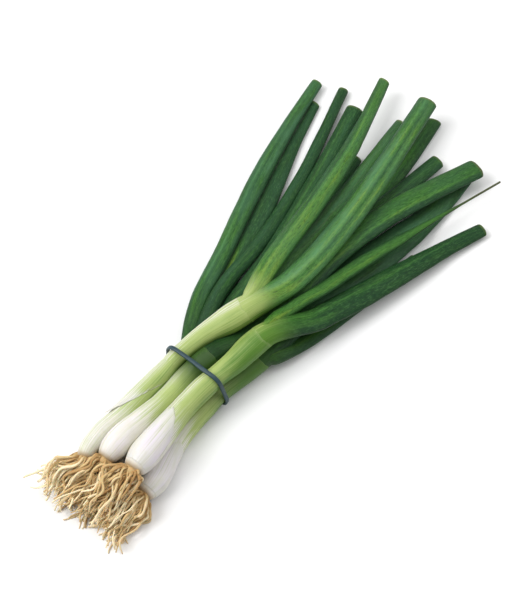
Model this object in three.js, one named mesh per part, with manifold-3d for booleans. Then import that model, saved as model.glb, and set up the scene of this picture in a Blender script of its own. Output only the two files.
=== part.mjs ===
// A bunch of spring onions: six plants laid side by side and held by a rubber band.
// Each plant has a shaft (the white bulb and the pale stem above it), hollow green leaves that stand in the
// mouth of the shaft, and a tuft of roots below the bulb.
//
// Millimetres, +Z up. The bunch lies along X on the plane z = 0, with its roots towards -X and the cut ends
// of its leaves towards +X. The origin is the middle of its footprint.

import * as THREE from "three";
import { mergeVertices } from "three/addons/utils/BufferGeometryUtils.js";
import Module from "manifold-3d";

const wasm = await Module();
wasm.setup();

// Driving dimensions

// bulb, stem and collar are the radii of a shaft at its bulb, in the band and at its mouth.
// The shaft's course runs from the base of the bulb, through the band, to the mouth. A leaf's course goes on
// from there to its cut end. Courses are [x, y, z].
// width, end and thick are a leaf's widest width, its width at the end, and its thickness over its width.
// A dry leaf has withered to a point, which is solid.
// tuft is where the middle of the root tips lies, as [y, z].
const PLANTS = [
  {
    name: "onion_1",
    bulb: 5.3,
    stem: 4.9,
    collar: 7.4,
    shaft: [[-134, 9.4, 18], [-87, 10.5, 18], [-60, 9, 18], [-14, -1, 22]],
    leaves: [
      {
        course: [[12, 5, 25], [68, 12, 21], [119, 22, 16], [169, 36, 13]],
        width: 12.5, end: 7.6, thick: 0.5,
      },
      {
        course: [[16, -1, 18], [73, 3, 13], [150, 9, 10]],
        width: 12.5, end: 9.5, thick: 0.42,
      },
      {
        course: [[14, -11, 25], [63, -11, 24], [104, -6, 21], [168, 4, 17]],
        width: 15, end: 12.5, thick: 0.44,
      },
    ],
    tuft: [21, 9],
  },
  {
    name: "onion_2",
    bulb: 7.4,
    stem: 5.5,
    collar: 6.6,
    shaft: [[-125, -11.5, 18], [-87, -10.5, 18], [-60, -11, 18], [-22, -16, 20]],
    leaves: [
      {
        course: [[10, -19, 19], [40, -28, 17], [95, -44, 13], [149, -60, 9]],
        width: 8.5, end: 1.3, thick: 0.55, dry: true,
      },
      {
        course: [[-2, -27, 15], [44, -42, 8.5], [121, -70, 3.5]],
        width: 15.5, end: 9, thick: 0.42,
      },
    ],
    tuft: [-5, 12],
  },
  {
    name: "onion_3",
    bulb: 7,
    stem: 4.8,
    collar: 5.8,
    shaft: [[-129, 2.5, 15.5], [-95, 1, 16.5], [-60, -1.5, 16.5], [-45, -3, 15]],
    leaves: [
      {
        course: [[10, -5, 14], [62, -11, 10], [145, -22, 4.5]],
        width: 12.5, end: 10, thick: 0.42,
      },
      {
        course: [[4, -8, 15.5], [69, -18, 15], [121, -34, 12], [150, -45, 10]],
        width: 16.5, end: 14, thick: 0.36,
      },
    ],
    tuft: [5, 9],
  },
  {
    name: "onion_4",
    bulb: 6.8,
    stem: 5.5,
    collar: 6.2,
    shaft: [[-130, 13, 7], [-96, 11, 7.5], [-60, 10, 8], [-50, 12, 9]],
    leaves: [
      {
        course: [[-30, 22, 9], [9, 36, 8], [72, 54, 6], [148, 71, 4.5]],
        width: 10.5, end: 7.5, thick: 0.52,
      },
      {
        course: [[-20, 20, 6], [32, 34, 4], [80, 49, 3], [136, 66, 2.5]],
        width: 12, end: 6.5, thick: 0.45,
      },
      {
        course: [[-26, 17, 11], [10, 20, 9], [69, 31, 6], [152, 55, 3.5]],
        width: 9.5, end: 6.6, thick: 0.55,
      },
    ],
    tuft: [15, 3],
  },
  {
    name: "onion_5",
    bulb: 7.2,
    stem: 5.8,
    collar: 6.4,
    shaft: [[-130, -20, 7], [-94, -15, 8], [-60, -15, 8], [-27, -22, 8.5]],
    leaves: [
      {
        course: [[12, -27, 8], [70, -37.5, 5], [112, -41, 3.5], [144, -40, 3]],
        width: 17, end: 12, thick: 0.33,
      },
      {
        course: [[8, -33, 5], [46, -43, 4], [80, -52, 3]],
        width: 11, end: 7, thick: 0.5,
      },
    ],
    tuft: [-18, 5],
  },
  {
    name: "onion_6",
    bulb: 7,
    stem: 5.2,
    collar: 6,
    shaft: [[-127, -4, 7], [-96, -2, 7.5], [-60, -3, 7.6], [-38, 2, 8.5]],
    leaves: [
      {
        course: [[-14, 11, 11], [26, 15, 10], [93, 27, 8], [145, 40, 6]],
        width: 12.5, end: 11.5, thick: 0.4,
      },
      {
        course: [[0, 5, 6], [62, 12, 3.5], [117, 19, 2.5]],
        width: 10, end: 8.5, thick: 0.42,
      },
      {
        course: [[4, -3, 8], [96, -10, 4], [169, -2.5, 3]],
        width: 12, end: 9.5, thick: 0.42,
      },
    ],
    tuft: [-3, 3],
  },
];

const GAP = 0.35; // air left between pieces that touch
const SOCKET = 9; // how far the leaves stand in the mouth of their shaft
const SHEATH = 0.9; // wall of the shaft round its mouth
const SLANT = 4; // how much lower the mouth's rim is on top
const HOLLOW = 0.66; // inside of a leaf as a share of its outside
const HOLLOW_FROM = 0.3; // where the hollow ends, as a share of the leaf's length
const BASE = 9; // length of the rounded base of a bulb
const REST_FLAT = 0.4; // how much a bulb is pressed flat where it lies on the surface
const CLEAR = 0.15; // how far leaves and stems stay above the surface

const BAND = { x: -60, width: 2.4, thick: 1.5, steps: 56 };

const ROOTS = { perRadius: 2.2, radius: 0.85, plate: 3, tips: -160 };

const SIDES = { shaft: 16, leaf: 12, root: 3 };

// Packing the bunch

// Shafts and leaves are strands. A strand has an ellipse as its section, and its centre is kept at stations
// along X. Strands start on their courses, and are pushed apart and settled until none crosses another.
const FIRST_X = -141;
const STEP = 3;
const STATIONS = 104;
const ROUNDS = 700;
const PACK_GAP = 1; // air between strands, as it is reached when they have settled
const WEIGHT = 0.03; // how far a strand sinks in a round
const GUIDE = 0.05; // how much of the way back to its course it is drawn in a round
const STIFF = 0.6; // how much of a bend between stations straightens in a round

const stationOf = (x) => Math.round((x - FIRST_X) / STEP);
const xOf = (station) => FIRST_X + station * STEP;
const { lerp, smoothstep } = THREE.MathUtils;

function curveThrough(points) {
  return new THREE.CatmullRomCurve3(points.map((p) => new THREE.Vector3(...p)), false, "centripetal");
}

// Radius of a shaft, from the distances to the base of its bulb and to its mouth.
function shaftRadius({ bulb, stem, collar }, along, left) {
  const neck = lerp(bulb, stem, smoothstep(along, 12, 44));
  const below = Math.max(0, 1 - along / BASE);
  return lerp(neck * Math.sqrt(1 - 0.75 * below * below), collar, smoothstep(34 - left, 0, 30));
}

// Half width and half height of a leaf at a share of its length past the mouth.
// Its foot fills its part of the mouth, and it widens once it is out.
function leafSection(leaf, share) {
  const grown = smoothstep(share, 0, 0.18);
  const past = leaf.dry ? smoothstep(share, 0.45, 0.84) : smoothstep(share, 0.45, 1);
  const wide = lerp(lerp(leaf.foot.wide, leaf.width / 2, grown), leaf.end / 2, past * grown);
  const blade = wide * lerp(leaf.thick, 1, leaf.dry ? past : 0);
  return { wide, high: lerp(leaf.foot.high, blade, grown) };
}

function makeStrand(points, sectionAt, own) {
  const samples = curveThrough(points).getPoints(300);
  const first = stationOf(points[0][0]);
  const last = stationOf(points.at(-1)[0]);
  const strand = { first, last, own, y: [], z: [], wide: [], high: [], guideY: [], guideZ: [] };
  let k = 0;
  for (let j = first; j <= last; j += 1) {
    const x = xOf(j);
    while (k < samples.length - 2 && samples[k + 1].x < x) k += 1;
    const here = samples[k];
    const next = samples[k + 1];
    const t = (x - here.x) / (next.x - here.x);
    strand.guideY[j] = lerp(here.y, next.y, t);
    strand.guideZ[j] = lerp(here.z, next.z, t);
    strand.y[j] = strand.guideY[j];
    strand.z[j] = strand.guideZ[j];
    const slope = (next.y - here.y) / (next.x - here.x);
    const { wide, high } = sectionAt(x);
    strand.wide[j] = wide * Math.hypot(1, slope);
    strand.high[j] = high;
  }
  return strand;
}

// Two leaves stand in a mouth side by side. Of three, the middle one stands below the other two.
function seatLeaves(plant) {
  const room = plant.collar - SHEATH - 0.5;
  const two = [0.5, -0.5].map((aside) => ({ aside, above: 0, wide: 0.5, high: 0.66 }));
  const three = [
    { aside: 0.464, above: 0.268, wide: 0.464, high: 0.464 },
    { aside: 0, above: -0.536, wide: 0.464, high: 0.464 },
    { aside: -0.464, above: 0.268, wide: 0.464, high: 0.464 },
  ];
  const seats = plant.leaves.length === 2 ? two : three;
  plant.leaves.forEach((leaf, k) => {
    const { aside, above, wide, high } = seats[k];
    leaf.foot = {
      aside: aside * room,
      above: above * room,
      wide: wide * room - GAP,
      high: high * room - GAP,
    };
  });
}

function strandsOf(plant) {
  seatLeaves(plant);
  const base = plant.shaft[0];
  const mouth = plant.shaft.at(-1);
  const neck = plant.shaft.at(-2);
  const round = (x) => {
    const radius = shaftRadius(plant, Math.max(x - base[0], BASE), mouth[0] - x);
    return { wide: radius, high: radius };
  };
  plant.strand = makeStrand(plant.shaft, round, null);
  for (const leaf of plant.leaves) {
    const seat = mouth.map((v, i) => lerp(v, neck[i], SOCKET / (mouth[0] - neck[0])));
    const end = leaf.course.at(-1);
    const section = (x) => leafSection(leaf, Math.max(0, (x - mouth[0]) / (end[0] - mouth[0])));
    leaf.strand = makeStrand([seat, mouth, ...leaf.course], section, { plant, leaf });
  }
  return [plant.strand, ...plant.leaves.map((leaf) => leaf.strand)];
}

// Bends between stations straighten, as far as the strand's own course is straight.
function straighten(values, guide, first, last) {
  const bent = values.map((v, j) => v - guide[j]);
  const at = (j) => {
    if (j < first) return 2 * bent[first] - bent[2 * first - j];
    if (j > last) return 2 * bent[last] - bent[2 * last - j];
    return bent[j];
  };
  for (let j = first; j <= last; j += 1) {
    const smooth = (4 * (at(j - 1) + at(j + 1)) - at(j - 2) - at(j + 2)) / 6;
    values[j] += STIFF * (smooth - at(j));
  }
}

// Two strands that cross at a station are pushed apart, half the way each.
function separate(a, b, j) {
  const dy = b.y[j] - a.y[j];
  const dz = b.z[j] - a.z[j];
  const wide = a.wide[j] + b.wide[j] + PACK_GAP;
  const high = a.high[j] + b.high[j] + PACK_GAP;
  const near = Math.hypot(dy / wide, dz / high);
  if (near >= 1 || near < 1e-6) return;
  const push = (1 / near - 1) / 2;
  a.y[j] -= dy * push;
  a.z[j] -= dz * push;
  b.y[j] += dy * push;
  b.z[j] += dz * push;
}

// A leaf and its own shaft aren't pushed apart: the leaf stands in the shaft and follows it to the mouth.
const strangers = (a, b) => a.own?.plant.strand !== b && b.own?.plant.strand !== a;

function holdFoot(strand) {
  const { plant, leaf } = strand.own;
  for (let j = strand.first; j <= plant.strand.last + 1; j += 1) {
    const from = Math.min(j, plant.strand.last);
    const slope = (v) => (j - from) * (v[from] - v[from - 1]);
    strand.y[j] = plant.strand.y[from] + slope(plant.strand.y) + leaf.foot.aside;
    strand.z[j] = plant.strand.z[from] + slope(plant.strand.z) + leaf.foot.above;
  }
}

// The lowest a strand's centre may lie. Bulbs are pressed flat a little where they rest, and everything else
// is just clear of the surface. Under the shafts there is room for the band.
function floorOf(strand, j) {
  const under = Math.abs(xOf(j) - BAND.x) < 2 * STEP ? BAND.thick + 2 * GAP : 0;
  const isBulb = !strand.own && xOf(j) <= -100;
  return strand.high[j] + under + (isBulb ? -REST_FLAT : CLEAR);
}

function sink(strand) {
  for (let j = strand.first; j <= strand.last; j += 1) {
    strand.y[j] += GUIDE * (strand.guideY[j] - strand.y[j]);
    strand.z[j] += GUIDE * (strand.guideZ[j] - strand.z[j]) - WEIGHT;
  }
}

// In the last fifth of the rounds strands no longer sink, and straighten less often.
function pack(strands) {
  for (let round = 0; round < ROUNDS; round += 1) {
    const settling = round < ROUNDS * 0.8;
    for (const s of strands) {
      if (settling) sink(s);
      if (settling || round % 4 === 0) {
        straighten(s.y, s.guideY, s.first, s.last);
        straighten(s.z, s.guideZ, s.first, s.last);
      }
    }
    for (let j = 0; j < STATIONS; j += 1) {
      const here = strands.filter((s) => s.first <= j && j <= s.last);
      here.forEach((a, k) => {
        here.slice(k + 1).filter((b) => strangers(a, b)).forEach((b) => separate(a, b, j));
      });
    }
    for (const s of strands) {
      if (s.own) holdFoot(s);
      for (let j = s.first; j <= s.last; j += 1) {
        s.z[j] = Math.max(s.z[j], floorOf(s, j));
      }
    }
  }
}

const strands = PLANTS.flatMap(strandsOf);
pack(strands);

// Solids

// Points of a strand from a station on, one at every few stations and one at its end.
function pointsOf(strand, from, every) {
  const pointAt = (j) => new THREE.Vector3(xOf(j), strand.y[j], strand.z[j]);
  const points = [];
  for (let j = from; j < strand.last - every / 2; j += every) {
    points.push(pointAt(j));
  }
  return [...points, pointAt(strand.last)];
}

// The base of a shaft lies straight behind the rest of it.
function shaftCourse(strand) {
  const points = pointsOf(strand, strand.first + 1, 3);
  const ahead = points[1].clone().sub(points[0]).normalize();
  const base = points[0].clone().addScaledVector(ahead, -STEP);
  return new THREE.CatmullRomCurve3([base, ...points], false, "centripetal");
}

// Directions across a course: to the side, and up.
function across(course, share) {
  const along = course.getTangentAt(share);
  const side = new THREE.Vector3().crossVectors(along, new THREE.Vector3(0, 0, 1)).normalize();
  const high = new THREE.Vector3().crossVectors(side, along);
  return { along, side, high };
}

// Bends a blank turned about Y, where y is the share of the course's length. Its x becomes the side and its
// z the height, each times the half width and half height there.
function bend(blank, course, sectionAt) {
  const spot = blank.attributes.position;
  for (let i = 0; i < spot.count; i += 1) {
    const share = THREE.MathUtils.clamp(spot.getY(i), 0, 1);
    const { side, high } = across(course, share);
    const half = sectionAt(share);
    const p = course.getPointAt(share);
    p.addScaledVector(side, spot.getX(i) * half.wide);
    p.addScaledVector(high, spot.getZ(i) * half.high);
    spot.setXYZ(i, p.x, p.y, p.z);
  }
  return blank;
}

function turned(profile, sides) {
  const points = profile.map(([r, y]) => new THREE.Vector2(r, y));
  return new THREE.LatheGeometry(points, sides, Math.PI / sides);
}

function solidOf(geometry) {
  const bare = new THREE.BufferGeometry();
  bare.setAttribute("position", geometry.toNonIndexed().attributes.position);
  const merged = mergeVertices(bare, 1e-3);
  const vertProperties = merged.attributes.position.array;
  const triVerts = new Uint32Array(merged.index.array);
  return new wasm.Manifold(new wasm.Mesh({ numProp: 3, vertProperties, triVerts }));
}

function geometryOf(solid) {
  const mesh = solid.getMesh();
  const geometry = new THREE.BufferGeometry();
  geometry.setAttribute("position", new THREE.Float32BufferAttribute(mesh.vertProperties, 3));
  geometry.setIndex(new THREE.Uint32BufferAttribute(mesh.triVerts, 1));
  return geometry;
}

// A shaft is round, with a socket for the leaves in its end. The rim of the mouth slants back on top, and the
// underside is cut flat where the bulb rests.
function shaftGeometry(plant) {
  const course = plant.course;
  const length = course.getLength();
  const rings = [0, 2.2, 5, 9, 15, 22, 29, 36, 44];
  const steps = Math.round((length - 10 - 44) / 13);
  for (let k = 1; k <= steps; k += 1) {
    rings.push(lerp(44, length - 10, k / steps));
  }
  const outside = rings.map((s) => [shaftRadius(plant, s, length - s), s / length]);
  const mouth = plant.collar - SHEATH;
  const bottom = 1 - (SOCKET + 3 * GAP) / length;
  const socket = [[plant.collar, 1], [mouth, 1], [mouth, bottom], [0, bottom]];
  const blank = turned([[0, 0], ...outside, ...socket], SIDES.shaft);
  const spot = blank.attributes.position;
  for (let i = 0; i < spot.count; i += 1) {
    const top = 0.5 + spot.getZ(i) / plant.collar / 2;
    if (spot.getY(i) === 1) spot.setY(i, 1 - (SLANT / length) * top);
  }
  const whole = bend(blank, course, () => ({ wide: 1, high: 1 }));
  return geometryOf(solidOf(whole).trimByPlane([0, 0, 1], 0));
}

// A leaf's course starts in the socket, leaves the mouth straight, and then goes along its strand.
function leafCourse(plant, leaf) {
  const [foot, mouth] = [1 - SOCKET / plant.course.getLength(), 1].map((share) => {
    const { side, high } = across(plant.course, share);
    const p = plant.course.getPointAt(share);
    return p.addScaledVector(side, -leaf.foot.aside).addScaledVector(high, leaf.foot.above);
  });
  const ahead = mouth.clone().sub(foot).normalize();
  const past = mouth.clone().addScaledVector(ahead, 5);
  const blade = pointsOf(leaf.strand, stationOf(past.x) + 2, 3);
  const points = [foot, foot.clone().lerp(mouth, 0.5), mouth, past, ...blade];
  return new THREE.CatmullRomCurve3(points, false, "centripetal");
}

// A leaf is a tube with a closed foot. It is hollow from its cut end on.
function leafGeometry(plant, leaf) {
  const course = leafCourse(plant, leaf);
  const foot = SOCKET / course.getLength();
  const rings = [0, foot, 0.07, 0.1, 0.13, 0.17, 0.22, 0.29, 0.37, 0.47, 0.58, 0.7, 0.84, 1];
  const hollow = [1, 0.84, 0.7, 0.58, 0.47, 0.37, HOLLOW_FROM];
  const profile = [[0, 0], ...rings.map((share) => [1, share])];
  if (leaf.dry) {
    profile.push([0, 1]);
  } else {
    profile.push(...hollow.map((share) => [HOLLOW, share]), [0, HOLLOW_FROM]);
  }
  const section = (share) => leafSection(leaf, Math.max(0, (share - foot) / (1 - foot)));
  return bend(turned(profile, SIDES.leaf), course, section);
}

// The band is stretched round the shafts: each of its points lies on the shaft that is furthest out there.
function bandGeometry() {
  const held = PLANTS.flatMap(({ strand }) => [-0.5, 0, 0.5].map((aside) => {
    const x = BAND.x + aside * BAND.width;
    const j = Math.floor((x - FIRST_X) / STEP);
    const at = (values) => lerp(values[j], values[j + 1], (x - xOf(j)) / STEP);
    return { y: at(strand.y), z: at(strand.z), radius: at(strand.wide) + GAP + 0.2 };
  }));
  const outline = [];
  for (let k = 0; k < 360; k += 1) {
    const c = Math.cos((k * Math.PI) / 180);
    const s = Math.sin((k * Math.PI) / 180);
    const reach = (h) => h.y * c + h.z * s + h.radius;
    const most = held.reduce((a, b) => (reach(b) > reach(a) ? b : a));
    outline.push(new THREE.Vector3(BAND.x, most.y + most.radius * c, most.z + most.radius * s));
  }
  const loop = new THREE.CatmullRomCurve3(outline, true).getSpacedPoints(BAND.steps).slice(0, -1);
  const edge = BAND.width / 2;
  const flat = 0.3 * BAND.width;
  const { thick } = BAND;
  const upper = [[-edge, thick / 2], [-flat, thick], [flat, thick]];
  const lower = [[edge, thick / 2], [flat, 0], [-flat, 0]];
  const section = [...upper, ...lower];
  const position = [];
  const index = [];
  loop.forEach((p, k) => {
    const before = loop.at(k - 1);
    const after = loop[(k + 1) % loop.length];
    const out = new THREE.Vector3(0, after.z - before.z, before.y - after.y).normalize();
    section.forEach(([x, up], i) => {
      position.push(p.x + x, p.y + out.y * up, p.z + out.z * up);
      const n = section.length;
      const here = k * n;
      const next = ((k + 1) % loop.length) * n;
      const beside = (i + 1) % n;
      index.push(here + i, next + beside, here + beside);
      index.push(here + i, next + i, next + beside);
    });
  });
  const geometry = new THREE.BufferGeometry();
  geometry.setAttribute("position", new THREE.Float32BufferAttribute(position, 3));
  return geometry.setIndex(index);
}

// Roots

// A plant's roots grow out of a plate under its bulb, in rings round it. They are one solid.

function seeded(seed) {
  let state = seed;
  return () => {
    state = (state * 1664525 + 1013904223) % 4294967296;
    return state / 4294967296;
  };
}

// Where a plant's part of the root tangle has its middle at a place along X.
function tuftMiddle(plant, x) {
  const [bx, by, bz] = plant.course.getPoint(0).toArray();
  const share = THREE.MathUtils.clamp((bx - x) / (bx - ROOTS.tips), 0, 1);
  return [lerp(by, plant.tuft[0], share), lerp(bz, plant.tuft[1], share)];
}

// Moves a point of a root into its own plant's part, clear of the neighbours' bulbs and roots.
function keepIn(plant, p, clear) {
  const [y, z] = tuftMiddle(plant, p.x);
  const others = PLANTS.filter((other) => other !== plant);
  for (const other of [...others, ...others, ...others]) {
    const [oy, oz] = tuftMiddle(other, p.x);
    const apart = Math.hypot(oy - y, oz - z);
    const ny = (oy - y) / apart;
    const nz = (oz - z) / apart;
    const border = (apart * plant.bulb) / (plant.bulb + other.bulb) - clear;
    const over = (p.y - y) * ny + (p.z - z) * nz - border;
    if (over > 0) {
      p.y -= ny * over;
      p.z -= nz * over;
    }
  }
  p.z = Math.max(p.z, clear);
}

function rootGeometry(plant, k, count, random) {
  const base = plant.course.getPoint(0);
  const { along, side, high } = across(plant.course, 0);
  const around = k * 2.4 + random() * 0.5;
  const [c, s] = [Math.cos(around), Math.sin(around)];
  const out = Math.sqrt((k + 0.5) / count) * 0.55 * plant.bulb;
  const radial = side.clone().multiplyScalar(c).addScaledVector(high, s);
  const p = base.clone().addScaledVector(along, -GAP - ROOTS.plate / 2).addScaledVector(radial, out);
  const ahead = along.clone().negate().addScaledVector(radial, 0.9 * out / plant.bulb + 0.5 * random());
  const reach = (base.x - ROOTS.tips) * (0.75 + 0.35 * random());
  const spread = 1.3 * plant.bulb;
  const [y, z] = plant.tuft;
  const tip = new THREE.Vector3(base.x - reach, y - spread * c, z + 0.6 * spread * s);
  const points = [p.clone()];
  const bends = 5;
  for (let i = 1; i <= bends; i += 1) {
    const t = i / bends;
    const q = p.clone().addScaledVector(ahead, t * reach * 0.8).lerp(tip, t * t);
    q.y += (random() - 0.5) * 3 * t;
    q.z += (random() - 0.5) * 3 * t - 3 * t * t;
    if (i > 1 || q.x < base.x - ROOTS.plate - 1) keepIn(plant, q, ROOTS.radius + 2 * GAP);
    points.push(q);
  }
  const course = new THREE.CatmullRomCurve3(points, false, "centripetal");
  const profile = [[0, 0], [1, 0], [1, 0.3], [0.85, 0.55], [0.75, 0.8], [0.5, 1], [0, 1]];
  return bend(turned(profile, SIDES.root), course, () => ({ wide: ROOTS.radius, high: ROOTS.radius }));
}

function plateGeometry(plant) {
  const base = plant.course.getPoint(0);
  const along = plant.course.getTangent(0);
  const near = base.clone().addScaledVector(along, -GAP);
  const far = base.clone().addScaledVector(along, -GAP - ROOTS.plate);
  const radius = 0.62 * plant.bulb;
  const blank = turned([[0, 0], [0.7, 0], [1, 0.5], [0.9, 1], [0, 1]], 8);
  return bend(blank, new THREE.LineCurve3(far, near), () => ({ wide: radius, high: radius }));
}

function tuftGeometry(plant, seed) {
  const random = seeded(seed);
  const solids = [solidOf(plateGeometry(plant))];
  const count = Math.round(ROOTS.perRadius * plant.bulb);
  for (let k = 0; k < count; k += 1) {
    solids.push(solidOf(rootGeometry(plant, k, count, random)));
  }
  const parts = wasm.Manifold.union(solids).decompose();
  return geometryOf(parts.reduce((a, b) => (b.volume() > a.volume() ? b : a)));
}

// The bunch

const MATERIALS = {
  shaft: new THREE.MeshStandardMaterial({ color: 0xdfe6b4, roughness: 0.4, metalness: 0 }),
  leaf: new THREE.MeshStandardMaterial({ color: 0x2f6b34, roughness: 0.45, metalness: 0 }),
  roots: new THREE.MeshStandardMaterial({ color: 0xc9a56b, roughness: 0.8, metalness: 0 }),
  band: new THREE.MeshStandardMaterial({ color: 0x1f4a78, roughness: 0.55, metalness: 0 }),
};

const bunch = new THREE.Group();

function add(name, geometry, material) {
  geometry.computeVertexNormals();
  const mesh = new THREE.Mesh(geometry, material.clone());
  mesh.name = name;
  bunch.add(mesh);
}

for (const plant of PLANTS) {
  plant.course = shaftCourse(plant.strand);
}
PLANTS.forEach((plant, k) => {
  add(`${plant.name}_shaft`, shaftGeometry(plant), MATERIALS.shaft);
  add(`${plant.name}_roots`, tuftGeometry(plant, 11 + k), MATERIALS.roots);
  plant.leaves.forEach((leaf, i) => {
    add(`${plant.name}_leaf_${i + 1}`, leafGeometry(plant, leaf), MATERIALS.leaf);
  });
});
add("rubber_band", bandGeometry(), MATERIALS.band);

const footprint = new THREE.Box3().setFromObject(bunch);
const middle = footprint.getCenter(new THREE.Vector3());
for (const mesh of bunch.children) {
  mesh.geometry.translate(-middle.x, -middle.y, -footprint.min.z);
}

export default bunch;
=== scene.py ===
"""Looks of the spring onion bunch: shafts, leaves, roots and rubber band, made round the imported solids."""

import math

import bpy
import numpy as np
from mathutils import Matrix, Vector


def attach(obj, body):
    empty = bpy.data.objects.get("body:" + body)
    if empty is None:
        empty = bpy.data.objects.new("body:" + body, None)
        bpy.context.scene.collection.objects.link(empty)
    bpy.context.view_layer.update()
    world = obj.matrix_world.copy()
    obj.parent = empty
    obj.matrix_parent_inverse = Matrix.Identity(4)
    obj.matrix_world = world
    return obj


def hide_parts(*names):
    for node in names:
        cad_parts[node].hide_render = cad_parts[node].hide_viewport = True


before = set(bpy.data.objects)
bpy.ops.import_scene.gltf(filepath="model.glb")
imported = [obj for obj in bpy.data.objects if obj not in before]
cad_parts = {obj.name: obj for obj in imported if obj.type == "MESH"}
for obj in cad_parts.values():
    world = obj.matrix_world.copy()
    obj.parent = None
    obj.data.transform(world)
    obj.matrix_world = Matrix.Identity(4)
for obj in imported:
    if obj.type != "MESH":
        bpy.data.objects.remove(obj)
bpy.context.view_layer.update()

MM = 0.001
TARGET = Vector((-2.7, -0.3, 10.0)) * MM
AZIMUTH, ELEVATION, DISTANCE = math.radians(-52), math.radians(60), 0.79

STATION = 1.5 * MM  # distance between the places where a leaf or shaft is measured
SOCKET = 9.0 * MM  # how far a leaf stands in its shaft
LEAF_WALL = 0.85 * MM
LEAF_LIP = 0.5 * MM
LEAF_LIP_START = 0.6 * MM  # how far the rounded lip starts before the cut end
LEAF_DEEP = 34 * MM  # how deep a cut leaf is hollow
LEAST_RADIUS = 0.12 * MM
ON_FLOOR = 0.02 * MM  # the lowest that a shaft or skin comes
ABOVE_FLOOR = 0.1 * MM  # the lowest that a skin's outside, a root plate or the band comes
BULB_AT = 9 * MM  # where a bulb's radius is measured, from its base
PHASES = 6.3  # random waves start between 0 and this, in radians

# Points round each piece, and rows along those that aren't measured station by station.
LEAF_COLUMNS, SHAFT_COLUMNS, PLATE_COLUMNS = 44, 56, 32
SKIN_ROWS, SKIN_COLUMNS = 60, 40
ROOT_STEPS, ROOT_SIDES = 30, 6
BAND_ROWS, BAND_SIDES = 260, 20

# Plants. leaves: how many. locks: how many locks of roots. pink: how lilac the bulb is. low and green: how
# green the shaft is at its bulb and past the band. fade: how much further along it turns green.
# painted_shade:
# how dark painted shade makes it past the band, where it lies under the others, and at its leaves' feet.
# rim and foot: how pale its torn rim and its leaves' feet are. broad: how much it widens towards its mouth.
# straw: how much paler the roots are. tuck: how far the lower shaft leans to its neighbour. plump: how much
# wider the bulb is than its solid. Distances are in millimetres.
PLANTS = {
    "onion_1": dict(
        leaves=3, pink=0.15, low=0.14, fade=-12, tuck=1.8, green=0.52, foot=0.95, broad=0.2, rim=0.15,
        locks=15, straw=0.3,
    ),
    "onion_2": dict(
        leaves=2, plump=0.7, pink=0.6, fade=-6, green=0.95, foot=0.95, broad=0.2, rim=0.2, locks=24,
    ),
    "onion_3": dict(
        leaves=2, plump=0.6, pink=0.3, fade=-10, green=1.0, foot=0.1, broad=0.1, painted_shade=1.0, rim=0.03,
        locks=18,
    ),
    "onion_4": dict(
        leaves=3, pink=0.1, green=0.9, foot=0.2, broad=0.1, painted_shade=0.5, rim=0.3, locks=16,
    ),
    "onion_5": dict(
        leaves=2, plump=0.4, pink=0.3, green=1.0, foot=0.3, broad=0.1, painted_shade=0.4, rim=0.05, locks=20,
        straw=0.1,
    ),
    "onion_6": dict(
        leaves=3, pink=0.2, green=0.9, foot=0.2, broad=0.1, painted_shade=0.5, rim=0.1, locks=16,
    ),
}
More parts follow.
